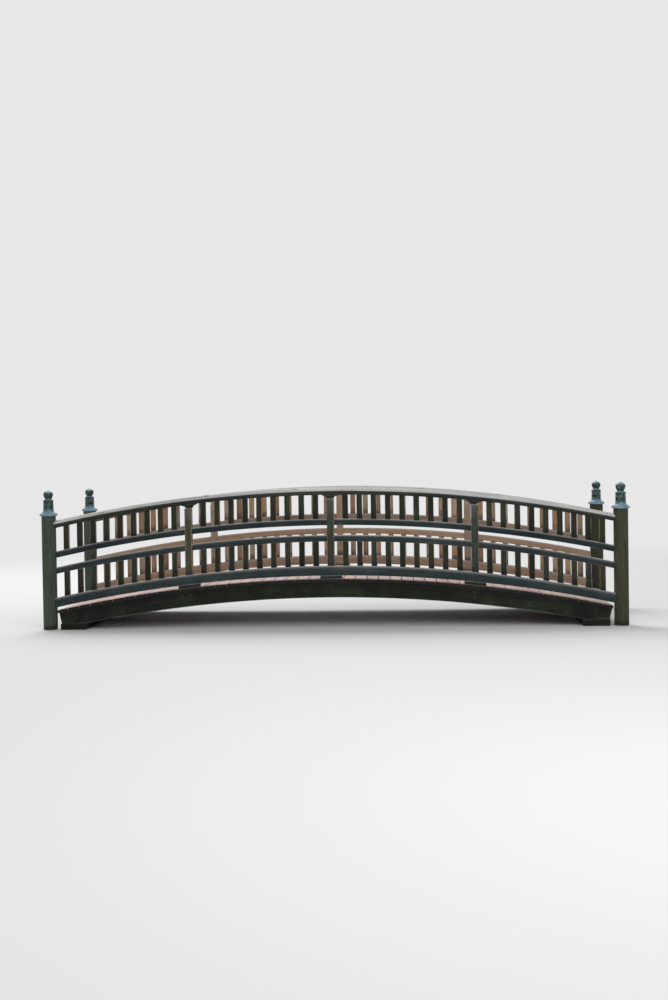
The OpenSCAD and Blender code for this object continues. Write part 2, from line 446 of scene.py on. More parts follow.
def copies(first, spots):
    """A copy of a small piece at each place and turn, joined as one piece."""
    parts = []
    for place, turn in spots:
        copy = first.copy()
        copy.data = first.data.copy()
        bpy.context.scene.collection.objects.link(copy)
        copy.location = place
        copy.rotation_euler = turn
        parts.append(copy)
    bpy.data.objects.remove(first)
    joined(parts)
    return settle()


def joined(parts):
    """Join parts into one object, each still a closed shell of its own."""
    lay_down_tools()
    for part in parts:
        part.select_set(True)
    bpy.context.view_layer.objects.active = parts[0]
    if len(parts) > 1:
        bpy.ops.object.join()
    return bpy.context.object


def finished(piece, name, finish, nodes=(), smooth=35):
    """Name a finished piece, give it its finish and let it ride in the place of its nodes."""
    slot, make = FINISHES[finish]
    lay_down_tools()
    piece.select_set(True)
    bpy.context.view_layer.objects.active = piece
    bpy.ops.object.shade_smooth_by_angle(angle=math.radians(smooth))
    piece.name = name
    piece.data.name = name
    piece.data.materials.clear()
    piece.data.materials.append(once(finish, make))
    if nodes:
        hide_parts(*nodes)
    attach(piece, "root")


# Finishes


class Graph:
    """Adds nodes to one node tree, from left to right."""

    rows = 4
    column_width = 220
    row_height = 260

    def __init__(self, tree):
        self.tree = tree
        self.made = 0

    def add(self, kind, values=None, **settings):
        """A node of that kind, with its settings made and its inputs fed."""
        node = self.tree.nodes.new(kind)
        for key, setting in settings.items():
            setattr(node, key, setting)
        self.feed_all(node, values or {})
        self.made += 1
        column, row = divmod(self.made, self.rows)
        node.location = (column * self.column_width, -row * self.row_height)
        return node

    def feed(self, socket, value):
        """Link a socket to another node's output, or set its value."""
        if isinstance(value, bpy.types.NodeSocket):
            self.tree.links.new(value, socket)
        elif socket.type == "RGBA":
            socket.default_value = (*value, 1)
        else:
            socket.default_value = value

    def feed_all(self, node, values):
        """Feed several of a node's inputs, each known by its name or number."""
        for socket, value in values.items():
            self.feed(node.inputs[socket], value)

    def group(self, name, make):
        """A node that holds one of the shared effects."""
        return self.add("ShaderNodeGroup", node_tree=once(name, make))

    def show_studio(self, kind, share, shader, output):
        """Show the plain studio colour in place of a share of a shader's own look."""
        studio = self.add(kind, {"Color": colours().studio, "Strength": 1.0}).outputs[0]
        mixed = self.add("ShaderNodeMixShader", {0: share, 1: shader.outputs[0], 2: studio}).outputs[0]
        self.feed(self.tree.nodes[output].inputs["Surface"], mixed)

    def finish(self, shader):
        """Put the shader and the material's output to the right of what feeds them."""
        shader.location = ((self.made // self.rows + 2) * self.column_width, 0)
        self.tree.nodes["Material Output"].location = (shader.location.x + 2 * self.column_width, 0)

    def math(self, operation, first, second=0.0, clamp=False):
        values = {0: first, 1: second}
        return self.add("ShaderNodeMath", values, operation=operation, use_clamp=clamp).outputs[0]

    def plus(self, first, second, clamp=False):
        return self.math("ADD", first, second, clamp)

    def minus(self, first, second):
        return self.math("SUBTRACT", first, second)

    def times(self, first, second, clamp=False):
        return self.math("MULTIPLY", first, second, clamp)

    def vector(self, operation, first, second):
        return self.add("ShaderNodeVectorMath", {0: first, 1: second}, operation=operation).outputs[0]

    def stretch(self, vector, scale):
        return self.vector("MULTIPLY", vector, scale)

    def length(self, vector):
        return self.add("ShaderNodeVectorMath", {0: vector}, operation="LENGTH").outputs["Value"]

    def parts(self, vector):
        """The three parts of a vector."""
        return self.add("ShaderNodeSeparateXYZ", {"Vector": vector}).outputs

    def ramp(self, value, low, high, start=0.0, end=1.0, curve="SMOOTHSTEP"):
        """Turn low to high into start to end, smoothly and no further."""
        values = {"Value": value, "From Min": low, "From Max": high, "To Min": start, "To Max": end}
        return self.add("ShaderNodeMapRange", values, interpolation_type=curve).outputs["Result"]

    def linear(self, value, low, high, start=0.0, end=1.0):
        return self.ramp(value, low, high, start, end, "LINEAR")

    def noise(self, vector, scale, detail=3.0, roughness=0.55):
        values = {"Vector": vector, "Scale": scale, "Detail": detail, "Roughness": roughness}
        return self.add("ShaderNodeTexNoise", values).outputs[0]

    def mix(self, share, first, second, blend="MIX"):
        values = {0: share, 6: first, 7: second}
        return self.add("ShaderNodeMix", values, data_type="RGBA", blend_type=blend).outputs[2]

    def attribute(self, name):
        return self.add("ShaderNodeAttribute", attribute_name=name, attribute_type="GEOMETRY").outputs

    def place(self):
        return self.add("ShaderNodeTexCoord").outputs["Object"]

    def facing(self):
        return self.add("ShaderNodeNewGeometry").outputs["Normal"]

    def relief(self, height, strength, distance):
        """A bumpy normal made from a height."""
        values = {"Strength": strength, "Distance": distance, "Height": height}
        return self.add("ShaderNodeBump", values).outputs["Normal"]


def effect(name, inputs, outputs):
    """A new node group with named inputs and outputs, and the graph to fill it with.

    The default of an input tells its kind: a number, a colour, or None for a vector.
    """
    group = bpy.data.node_groups.new(name, "ShaderNodeTree")
    for label, value in inputs.items():
        kind = {type(None): "Vector", tuple: "Color", float: "Float"}[type(value)]
        socket = group.interface.new_socket(label, in_out="INPUT", socket_type=f"NodeSocket{kind}")
        if kind != "Vector":
            socket.default_value = (*value, 1) if kind == "Color" else value
    for label, kind in outputs.items():
        group.interface.new_socket(label, in_out="OUTPUT", socket_type=f"NodeSocket{kind}")
    graph = Graph(group)
    return group, graph, graph.add("NodeGroupInput").outputs, graph.add("NodeGroupOutput").inputs


def once(name, make):
    """The node group or material of that name, made the first time it is asked for."""
    for store in (bpy.data.node_groups, bpy.data.materials):
        if name in store:
            return store[name]
    return make(name)


# Places for knots in each metre, along the grain and in the two ways across it. About half hold one.
KNOT_PLACES = (2.0, 11.0, 11.0)


def knots(graph, grain):
    """Oval knots with a dark bark and rings: their mask, and the grain as it bends round them."""
    spread = graph.stretch(grain, KNOT_PLACES)
    cell = graph.add("ShaderNodeTexVoronoi", {"Vector": spread, "Scale": 1.0, "Randomness": 0.7}).outputs
    seed = graph.add("ShaderNodeSeparateColor", {"Color": cell["Color"]}).outputs
    present = graph.ramp(seed[0], 0.55, 0.56)
    in_metres = [1 / count for count in KNOT_PLACES]
    from_knot = graph.stretch(graph.vector("SUBTRACT", spread, cell["Position"]), in_metres)
    away = graph.length(graph.stretch(from_knot, (0.6, 1, 1)))
    size = graph.linear(seed[1], 0.0, 1.0, 0.009, 0.019)
    inside = graph.math("DIVIDE", away, size)
    heart = graph.times(graph.ramp(inside, 1.0, 0.85), present)
    rings = graph.ramp(graph.math("SINE", graph.times(inside, 17.0)), -1.0, 1.0, 0.5, 0.8)
    from_bark = graph.math("ABSOLUTE", graph.minus(inside, 0.95))
    bark = graph.times(graph.ramp(from_bark, 0.2, 0.02), present)
    mask = graph.math("MAXIMUM", graph.times(heart, rings), bark)
    swirl = graph.times(graph.ramp(away, 0.042, 0.012, 0.0, 0.8), present)
    sideways = graph.stretch(from_knot, (0, 1, 1))
    bend = graph.add("ShaderNodeVectorMath", {0: sideways, 3: swirl}, operation="SCALE").outputs[0]
    return mask, graph.vector("SUBTRACT", grain, bend)


def figure_group(name):
    """Growth rings, fibres, drying checks and knots that follow the timber's own coordinates."""
    inputs = {"Grain": None, "Ring spacing": 0.009, "Checks": 0.5}
    outputs = {"Figure": "Float", "Check mask": "Float", "Knot mask": "Float", "Height": "Float"}
    group, graph, given, out = effect(name, inputs, outputs)
    knot, grain = knots(graph, given["Grain"])

    wander = graph.noise(graph.stretch(grain, (0.9, 4, 4)), 1.0, 2.0)
    across = graph.parts(grain)
    sideways = graph.plus(across[1], graph.times(graph.minus(wander, 0.5), 0.11))
    radius = graph.plus(graph.times(across[2], 0.8), sideways)
    turns = graph.times(graph.math("DIVIDE", radius, given["Ring spacing"]), 2 * math.pi)
    rings = graph.ramp(graph.math("SINE", turns), -1.0, 1.0)
    streak = graph.noise(graph.stretch(grain, (1.1, 34, 34)), 1.0, 4.0, 0.62)
    fibre = graph.noise(graph.stretch(grain, (6, 260, 260)), 1.0, 3.0, 0.6)
    broad = graph.plus(graph.times(rings, 0.25), graph.times(streak, 0.95))
    figure = graph.plus(broad, graph.times(fibre, 0.25))

    split = graph.noise(graph.stretch(grain, (0.75, 21, 21)), 1.0, 1.5, 0.5)
    ridge = graph.math("ABSOLUTE", graph.minus(split, 0.5))
    crack = graph.times(graph.ramp(ridge, 0.011, 0.003), graph.ramp(streak, 0.42, 0.56))
    checks = graph.times(crack, given["Checks"], clamp=True)
    rough = graph.plus(graph.times(fibre, 0.3), graph.times(streak, 0.5))

    graph.feed(out["Figure"], graph.linear(figure, 0.35, 1.05))
    graph.feed(out["Check mask"], checks)
    graph.feed(out["Knot mask"], knot)
    graph.feed(out["Height"], graph.minus(rough, graph.times(checks, 1.6)))
    return group


def varied(graph, colour, given, patch, tints, patches, figures, reds, blues):
    """A colour whose tone and hue change from timber to timber, in patches and along the figure."""
    tone = graph.plus(graph.linear(given["Tint"], 0.0, 1.0, *tints), graph.ramp(patch, 0.3, 0.7, *patches))
    tone = graph.times(tone, graph.linear(given["Figure"], 0.0, 1.0, *figures))
    hue = graph.math("SINE", graph.times(given["Tint"], 40.0))
    red = graph.times(tone, graph.linear(hue, -1.0, 1.0, *reds))
    blue = graph.times(tone, graph.linear(hue, -1.0, 1.0, *blues))
    shade = graph.add("ShaderNodeCombineColor", {0: red, 1: tone, 2: blue}).outputs[0]
    return graph.mix(1.0, colour, shade, "MULTIPLY")


# What weather and painted light and shade do to a wood, where its finish says nothing else.
WEATHER_AND_LIGHT = {
    "sun": 0.9,
    "sky_from": 0.05,
    "shelter": 0.8,
    "algae_share": 0.15,
    "drip": 0.0,
    "grime": 0.0,
    "end_stain": 0.6,
    "polish": 0.0,
}

# What the workbench notes on every timber for the weather and the painted light and shade to read.
NOTES = ("tint", "worn", "end_grain", "split", "above_joint", "below_top")


def label_of(key):
    """The label of the input, in the sun, rain and painted light group, for one of these."""
    return key.replace("_", " ").capitalize()


def weather_and_light_group(name):
    """Bleaching and painted sunlight from above, worn edges, painted bounce light on faces towards the
    walkway and the ends, damp stains and painted shade, and a green film.
    """
    colour_labels = ("Wood", "Bounce lit", "Silver and sunlight", "Stain and shade", "Algae")
    inputs = {
        **dict.fromkeys(colour_labels, (0.2, 0.2, 0.2)),
        **{label_of(key): value for key, value in WEATHER_AND_LIGHT.items()},
        **dict.fromkeys(("Figure", "Check mask", "Knot mask"), 0.0),
        **{label_of(key): 0.0 for key in NOTES},
        "Place": None,
        "Facing": None,
    }
    group, graph, given, out = effect(name, inputs, {"Colour": "Color", "Roughness": "Float"})
    facing = graph.parts(given["Facing"])
    where = graph.parts(given["Place"])
    patch = graph.noise(given["Place"], 2.3, 4.0, 0.6)
    cloud = graph.noise(given["Place"], 9.0, 4.0, 0.65)

    # Wood out of the sun, with painted bounce light, lighter and browner, on faces towards the walkway and
    # the ends, and green where it stays damp
    towards_walkway = graph.ramp(graph.times(graph.times(facing[1], where[1]), -1.0), 0.1, 0.7)
    towards_ends = graph.ramp(graph.math("ABSOLUTE", facing[0]), 0.5, 0.9, 0.0, 0.45)
    shelter = graph.times(graph.math("MAXIMUM", towards_walkway, towards_ends), given["Shelter"])
    base = graph.mix(shelter, given["Wood"], given["Bounce lit"])
    base = varied(graph, base, given, patch, tints=(0.66, 1.3), patches=(-0.16, 0.16), figures=(0.62, 1.45),
                  reds=(0.9, 1.16), blues=(1.08, 0.84))
    film = graph.times(graph.ramp(patch, 0.42, 0.66), given["Algae share"])
    base = graph.mix(film, base, given["Algae"])

    # Silver on faces that look up and along the top edge, from real bleaching and painted sunlight, and on
    # worn arrises and in flecks
    up = graph.ramp(graph.minus(facing[2], given["Sky from"]), 0.0, 0.35)
    rim = graph.plus(given["Below top"], graph.linear(cloud, 0.3, 0.7, -0.006, 0.006))
    upper = graph.math("MAXIMUM", up, graph.ramp(rim, 0.016, 0.004, 0.0, 0.65))
    sun = graph.times(given["Sun"], graph.ramp(cloud, 0.25, 0.6, 0.72, 1.0))
    sunlit = graph.times(upper, sun, clamp=True)
    patchy = graph.ramp(cloud, 0.3, 0.65, 0.05, 0.36)
    rub = graph.times(patchy, graph.ramp(given["Figure"], 0.2, 0.8, 0.65, 1.0))
    arris = graph.times(given["Worn"], rub)
    fleck = graph.times(graph.ramp(given["Figure"], 0.55, 1.0), graph.ramp(patch, 0.45, 0.75, 0.0, 0.1))
    pale = graph.plus(graph.math("MAXIMUM", sunlit, arris), fleck, clamp=True)
    sunlit_silver = varied(graph, given["Silver and sunlight"], given, patch, tints=(0.86, 1.06), patches=(-0.1, 0.06),
                    figures=(0.72, 1.22), reds=(0.99, 1.03), blues=(1.03, 0.95))
    colour = graph.mix(pale, base, sunlit_silver)

    # Darkening: damp stain and painted shade at the foot joint, painted shadow of the deck in a band below
    # the top, grime and painted shade on faces that don't look up, end grain, splits, knots and fine checks
    above_foot = graph.plus(given["Above joint"], graph.linear(cloud, 0.3, 0.7, 0.05, -0.05))
    deck_shadow_band = graph.ramp(graph.plus(rim, graph.linear(patch, 0.3, 0.7, -0.02, 0.02)), 0.13, 0.04)
    unwashed_and_shaded = graph.times(graph.minus(1.0, up), graph.ramp(cloud, 0.25, 0.7, 1.0, 0.75))
    stains_and_shade = (
        graph.ramp(above_foot, 0.1, 0.0, 0.0, 0.62),
        graph.times(deck_shadow_band, given["Drip"]),
        graph.times(unwashed_and_shaded, given["Grime"]),
        graph.times(given["End grain"], given["End stain"]),
        graph.times(given["Split"], 0.95, clamp=True),
        graph.times(given["Knot mask"], 0.7),
        graph.times(given["Check mask"], 0.85),
    )
    for share in stains_and_shade:
        colour = graph.mix(share, colour, given["Stain and shade"])

    graph.feed(out["Colour"], colour)
    unpolished = graph.linear(given["Figure"], 0.0, 1.0, 0.88, 0.72)
    graph.feed(out["Roughness"], graph.minus(unpolished, given["Polish"]))
    return group


def new_material(name):
    """A new material, its shader and the graph to fill it with."""
    material = bpy.data.materials.new(name)
    material.use_nodes = True
    return material, material.node_tree.nodes["Principled BSDF"], Graph(material.node_tree)


def wood(name, base, bleached=None, gloss=0.12, ring_spacing=0.009, checks=0.5, **weather):
    """A weathered wood with painted light and shade. Each finish sets its own colours, and the weather and
    painted light where they aren't the usual.
    """
    material, shader, graph = new_material(name)
    figure_node = graph.group("Wood figure", figure_group)
    graph.feed_all(figure_node, {
        "Grain": graph.attribute("grain")["Vector"],
        "Ring spacing": ring_spacing,
        "Checks": checks,
    })
    figure = figure_node.outputs
    weather_node = graph.group("Sun, rain and painted light", weather_and_light_group)
    graph.feed_all(weather_node, {label_of(key): value for key, value in {**WEATHER_AND_LIGHT, **weather}.items()})
    graph.feed_all(weather_node, {label_of(key): graph.attribute(key)["Fac"] for key in NOTES})
    graph.feed_all(weather_node, {key: figure[key] for key in ("Figure", "Check mask", "Knot mask")})
    graph.feed_all(weather_node, {
        "Wood": base,
        "Bounce lit": colours().bounce_lit_wood,
        "Silver and sunlight": bleached or colours().bleached_wood,
        "Stain and shade": colours().damp_stain_and_shade,
        "Algae": colours().algae,
        "Place": graph.place(),
        "Facing": graph.facing(),
    })
    graph.feed_all(shader, {
        "Base Color": weather_node.outputs["Colour"],
        "Roughness": weather_node.outputs["Roughness"],
        "Normal": graph.relief(figure["Height"], strength=0.8, distance=0.0022),
        "Specular IOR Level": gloss,
    })
    graph.finish(shader)
    return material


def slat_wood(name):
    return wood(name, colours().shaded_wood)


def squared_rail_wood(name):
    return wood(name, colours().sky_tinted_rail_wood, sun=0.75)


def square_post_wood(name):
    return wood(name, colours().post_wood)


def end_post_wood(name):
    return wood(name, colours().post_wood, shelter=0.0, algae_share=0.4, checks=0.9)


# The top rail's upper face is paled by bleaching and stronger painted sunlight, over the shaded colour below
def top_rail_wood(name):
    return wood(
        name, colours().shaded_wood, gloss=0.25, checks=0.8,
        sun=1.3, sky_from=0.02, shelter=0.3, polish=0.15,
    )


# Faces of the boards that don't look up are darkened: dirt and painted shade in the joints, at the ends and
# underneath
def deck_board_wood(name):
    return wood(
        name, colours().deck_wood, bleached=colours().deck_wood, gloss=0.2, ring_spacing=0.012,
        sun=1.0, shelter=0.0, grime=0.85, end_stain=1.0, polish=0.25,
    )


# Girder timber darkens in a band below its top: painted shadow of the deck
def girder_timber_wood(name):
    return wood(
        name, colours().girder_wood, ring_spacing=0.012, checks=0.8,
        sun=0.1, shelter=0.0, algae_share=0.6, drip=0.65,
    )


def patinated_metal(name):
    """Dark cast metal with blue-grey patina in blooms and runs, and paler patina on its skirt and where it
    faces the sky, which is partly real and partly a painted highlight of the sky.
    """
    material, shader, graph = new_material(name)
    place = graph.place()
    bloom = graph.noise(place, 26.0, 5.0, 0.65)
    run = graph.noise(graph.stretch(place, (60, 60, 5)), 1.0, 3.0, 0.6)
    spread = graph.plus(graph.times(bloom, 0.7), graph.times(run, 0.3))
    # Paler patina on faces that look up and on the skirt: partly real patina, partly a painted highlight of
    # the sky
    skyward = graph.ramp(graph.parts(graph.facing())[2], 0.25, 0.9, 0.0, 0.8)
    share = graph.plus(graph.ramp(spread, 0.52, 0.7), skyward, clamp=True)
    skirt = graph.times(graph.attribute("skirt")["Fac"], graph.ramp(bloom, 0.35, 0.6, 0.55, 1.0))
    share = graph.math("MAXIMUM", share, skirt)
    graph.feed_all(shader, {
        "Base Color": graph.mix(share, colours().dark_metal, colours().patina_and_highlight),
        "Roughness": graph.linear(share, 0.0, 1.0, 0.38, 0.62),
        "Metallic": graph.linear(share, 0.0, 1.0, 0.85, 0.35),
        "Normal": graph.relief(bloom, strength=0.5, distance=0.001),
    })
    graph.finish(shader)
    return material


def old_iron(name):
    """Rust-dark iron of bolts and nails."""
    material, shader, graph = new_material(name)
    bloom = graph.noise(graph.place(), 140.0, 4.0, 0.7)
    graph.feed_all(shader, {
        "Base Color": graph.mix(graph.ramp(bloom, 0.4, 0.65), colours().iron, colours().rust),
        "Roughness": graph.linear(bloom, 0.3, 0.7, 0.55, 0.85),
        "Metallic": 0.4,
    })
    graph.finish(shader)
    return material


# Each finish: its material slot, and what makes it.
FINISHES = {
    "Girder timber": ("dark_timber", girder_timber_wood),
    "Deck boards": ("deck_boards", deck_board_wood),
    "Slat wood": ("weathered_wood", slat_wood),
    "Squared rail wood": ("weathered_wood", squared_rail_wood),
    "Square post wood": ("weathered_wood", square_post_wood),
    "End post wood": ("weathered_wood", end_post_wood),
    "Top rail wood": ("bleached_wood", top_rail_wood),
    "Patinated metal": ("patinated_metal", patinated_metal),
    "Old iron": (None, old_iron),
}

# Pieces


class Step:
    """What every building step shares: its settings can be changed afterwards, and it can be undone."""

    bl_options = {"REGISTER", "UNDO"}


def heavy_timber(low, high, chance, along):
    """A squared timber with worn edges, between two corners."""
    piece = square_timber(low, high)
    ease(piece, sizes().worn_edge, 3)
    mark_grain(piece, chance, along, top=high[2])
    return piece


def curved_timber(arch):
    """A rectangular section swept along its curve."""
    lay_down_tools()
    middle = arch.point(0, arch.depth / 2)
    bpy.ops.mesh.primitive_plane_add(size=1, location=middle, rotation=(0, math.pi / 2, 0))
    piece = settle()
    with whole_mesh():
        bpy.ops.transform.resize(value=(1, arch.width, arch.depth), center_override=middle)
    sweep(arch)
    return piece


def upright(x, y, width, thickness, foot, head, edge, segments=1):
    """A board or post whose ends are sawn to the slope of the timbers that it stands between."""
    margin = 0.1
    low = (x - width / 2, y - thickness / 2, foot[0].z - margin)
    high = (x + width / 2, y + thickness / 2, head[0].z + margin)
    piece = square_timber(low, high)
    saw(foot[0], -foot[1])
    saw(head[0], head[1])
    ease(piece, edge, segments)
    return piece


class FOOTBRIDGE_OT_sills(Step, bpy.types.Operator):
    """Lay the bearing sills under the girder heels"""

    bl_idname = "footbridge.sills"
    bl_label = "Bearing Sills"

    def execute(self, context):
        chance = random.Random(11)
        for end in ENDS:
            node = f"sill_{end}"
            piece = heavy_timber(*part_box(node), chance, "y")
            finished(piece, f"{node}_timber", "Girder timber", [node])
        return {"FINISHED"}


class FOOTBRIDGE_OT_girders(Step, bpy.types.Operator):
    """Sweep the three arched girders and saw their heels level on the sills"""

    bl_idname = "footbridge.girders"
    bl_label = "Arched Girders"

    def execute(self, context):
        chance = random.Random(12)
        deck = Arch("deck")
        for place in GIRDERS:
            node = f"girder_{place}"
            arch = Arch(node, inset=deck.depth)
            arch.depth = sizes().girder_depth
            piece = curved_timber(arch)
            saw((0, 0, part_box(node)[0].z), (0, 0, -1))
            ease(piece, sizes().worn_edge, 3)
            mark_grain(piece, chance, arch=arch)
            finished(piece, f"{node}_timber", "Girder timber", [node])
        return {"FINISHED"}


class FOOTBRIDGE_OT_braces(Step, bpy.types.Operator):
    """Fit the short timbers between the girders"""

    bl_idname = "footbridge.braces"
    bl_label = "Girder Braces"

    thickness: a_length("Thickness", "Thickness along the bridge", 0.06)
    depth: a_length("Depth", "Depth of a brace", 0.12)
    drop: a_length("Drop", "Gap below the deck boards", 0.03)

    def execute(self, context):
        chance = random.Random(13)
        deck = Arch("deck")
        inner_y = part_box("girder_middle")[1].y
        outer_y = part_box("girder_back")[0].y
        parts = []
        for x in brace_places():
            top = deck.point(abs(x) + self.thickness / 2, deck.depth).z - self.drop
            for side in SIDES.values():
                ends = sorted((side * inner_y, side * outer_y))
                low = (x - self.thickness / 2, ends[0], top - self.depth)
                high = (x + self.thickness / 2, ends[1], top)
                parts.append(heavy_timber(low, high, chance, "y"))
        finished(joined(parts), "girder_brace_timbers", "Girder timber", ["girder_braces"])
        return {"FINISHED"}


class FOOTBRIDGE_OT_deck(Step, bpy.types.Operator):
    """Lay the cross boards of the deck along the curve, with open joints"""

    bl_idname = "footbridge.deck"
    bl_label = "Deck Boards"

    unevenness: a_length("Unevenness", "How far a board's face may lie below the deck line", 0.0015)
    raggedness: a_length("Raggedness", "How far a board's end may stand back", 0.005)

    def execute(self, context):
        chance = random.Random(14)
        arch = Arch("deck")
        width = board_pitch(arch) * (arch.radius - arch.depth) - sizes().deck_gap
        parts = []
        for angle in board_angles(arch):
            sunk = chance.uniform(0.2, 1) * self.unevenness
            back = [chance.random() * self.raggedness for _ in range(2)]
            low = (-width / 2, -arch.width / 2 + back[0], arch.crown - arch.depth)
            high = (width / 2, arch.width / 2 - back[1], arch.crown - sunk)
            piece = square_timber(low, high)
            ease(piece, sizes().eased_edge)
            mark_grain(piece, chance, "y")
            turn_along(arch, math.sin(angle) * arch.radius)
            parts.append(piece)
        finished(joined(parts), "deck_cross_boards", "Deck boards", ["deck"])
        return {"FINISHED"}


class FOOTBRIDGE_OT_blocks(Step, bpy.types.Operator):
    """Set the blocks that hold the bottom rails clear of the deck"""

    bl_idname = "footbridge.blocks"
    bl_label = "Rail Blocks"

    def execute(self, context):
        chance = random.Random(15)
        deck = Arch("deck")
        for side in SIDES:
            rail = Arch(f"bottom_rail_{side}")
            parts = []
            for number in MIDDLE_POSTS:
                x = post_middle(side, number).x
                foot = deck.sloped(x)
                head = rail.sloped(x, rail.depth)
                length, edge = sizes().block_length, sizes().eased_edge
                piece = upright(x, rail.y, length, rail.width, foot, head, edge, segments=2)
                mark_grain(piece, chance, "x", foot=foot[0].z)
                parts.append(piece)
            finished(joined(parts), f"blocks_{side}_timber", "Squared rail wood", [f"blocks_{side}"])
        return {"FINISHED"}


class FOOTBRIDGE_OT_flat_rails(Step, bpy.types.Operator):
    """Sweep the squared bottom rails and the two middle rails of each railing"""

    bl_idname = "footbridge.flat_rails"
    bl_label = "Bottom and Middle Rails"

    def execute(self, context):
        chance = random.Random(16)
        # The upper rail's low tint darkens it: painted shade of the top rail above it
        tints = {"bottom_rail": 0.62, "lower_rail": 0.55, "upper_rail": 0.14}
        for side in SIDES:
            for line, tint in tints.items():
                node = f"{line}_{side}"
                arch = Arch(node)
                piece = curved_timber(arch)
                ease(piece, sizes().eased_edge)
                mark_grain(piece, chance, arch=arch, tint=tint)
                finished(piece, f"{node}_timber", "Squared rail wood", [node])
        return {"FINISHED"}


class FOOTBRIDGE_OT_top_rails(Step, bpy.types.Operator):
    """Sweep the round top rails with their planed undersides, and open drying checks along them"""

    bl_idname = "footbridge.top_rails"
    bl_label = "Round Top Rails"

    sides: a_number("Sides", "Sides of the round section", 28, 12, 48)
    checks: a_number("Checks", "Drying checks along the top of a rail", 6, 1, 12)
    check_width: a_length("Check width", "Width of a drying check", 0.003)
    check_depth: a_length("Check depth", "Depth of a drying check", 0.008)

    def check_runs(self, arch, radius, chance):
        """Runs of points along the rail, one after the other, each two to four columns from its top."""
        steps = sizes().curve_steps
        stretch = steps // self.checks
        runs = []
        for number in range(self.checks):
            column = chance.choice((-4, -3, -2, 2, 3, 4))
            start = number * stretch + chance.randrange(2, 6)
            end = (number + 1) * stretch - chance.randrange(1, 5)
            across = 2 * math.pi / self.sides * column
            out = arch.radius - radius + radius * math.cos(across)
            run = []
            for step in range(start, end):
                angle = arch.angle * (2 * step / steps - 1)
                from_centre = (out * math.sin(angle), radius * math.sin(across), out * math.cos(angle))
                run.append(arch.centre + Vector(from_centre))
            runs.append(run)
        return runs

    def execute(self, context):
        chance = random.Random(17)
        for side in SIDES:
            node = f"top_rail_{side}"
            arch = Arch(node)
            radius = arch.depth - sizes().rail_flat
            lay_down_tools()
            bpy.ops.mesh.primitive_circle_add(
                vertices=self.sides, radius=radius, fill_type="NGON",
                location=arch.point(0, radius), rotation=(0, math.pi / 2, 0),
            )
            piece = settle()
            flat = arch.point(0, arch.depth)
            with whole_mesh():
                bpy.ops.mesh.bisect(plane_co=flat, plane_no=(0, 0, -1), clear_outer=True)
            sweep(arch)
            ease(piece, sizes().eased_edge)
            mark_grain(piece, chance, arch=arch)
            open_checks(piece, self.check_runs(arch, radius, chance), self.check_width, self.check_depth)
            finished(piece, f"{node}_pole", "Top rail wood", [node])
        return {"FINISHED"}


class FOOTBRIDGE_OT_saddles(Step, bpy.types.Operator):
    """Shape the boat-shaped saddles between the posts and the top rails"""

    bl_idname = "footbridge.saddles"
    bl_label = "Saddles"

    lip: a_length("Lip", "Thickness at the saddle's tips", 0.01)
    steps: a_number("Steps", "Steps in each hollow end", 8, 3, 16)

    def saddle(self, arch, thickness, post_side):
        """One saddle at the crown: a thin lip whose underside is drawn down and in along a hollow curve."""
        half = sizes().saddle_length / 2
        top = arch.crown - arch.depth
        low = (-half, arch.y - thickness / 2, top - self.lip)
        high = (half, arch.y + thickness / 2, top)
        piece = square_timber(low, high)
        pick(piece, "FACE", [min(piece.data.polygons, key=lambda face: face.center.z)])
        reach = half - post_side / 2
        drop = sizes().saddle_depth - self.lip
        now_half, now_drop = half, 0.0
        for step in range(1, self.steps + 1):
            angle = math.pi / 2 * step / self.steps
            next_half = half - reach * math.sin(angle)
            next_drop = drop * (1 - math.cos(angle))
            bpy.ops.mesh.extrude_region_move(TRANSFORM_OT_translate={"value": (0, 0, now_drop - next_drop)})
            bpy.ops.transform.resize(value=(next_half / now_half, 1, 1), center_override=(0, arch.y, top))
            now_half, now_drop = next_half, next_drop
        bpy.ops.object.mode_set(mode="OBJECT")
        return piece

    def execute(self, context):
        chance = random.Random(18)
        for side in SIDES:
            arch = Arch(f"top_rail_{side}")
            low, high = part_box(f"saddles_{side}")
            parts = []
            for number in MIDDLE_POSTS:
                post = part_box(f"post_{side}_{number}")
                piece = self.saddle(arch, high.y - low.y, post[1].x - post[0].x)
                ease(piece, sizes().eased_edge / 2, 1)
                mark_grain(piece, chance, "x")
                turn_along(arch, post_middle(side, number).x)
                parts.append(piece)
            finished(joined(parts), f"saddles_{side}_timber", "Slat wood", [f"saddles_{side}"])
        return {"FINISHED"}


class FOOTBRIDGE_OT_posts(Step, bpy.types.Operator):
    """Stand the square posts on the bottom rails"""

    bl_idname = "footbridge.posts"
    bl_label = "Square Posts"

    def execute(self, context):
        chance = random.Random(19)
        for side in SIDES:
            arch = railing_arches(side)
            under_saddle = arch["top_rail"].depth + sizes().saddle_depth
            for number in MIDDLE_POSTS:
                node = f"post_{side}_{number}"
                low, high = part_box(node)
                x, y, _ = post_middle(side, number)
                foot = arch["bottom_rail"].sloped(x)
                head = arch["top_rail"].sloped(x, under_saddle)
                piece = upright(x, y, high.x - low.x, high.y - low.y, foot, head, sizes().worn_edge, 3)
                mark_grain(piece, chance, "z", foot=foot[0].z)
                finished(piece, f"{node}_timber", "Square post wood", [node])
        return {"FINISHED"}


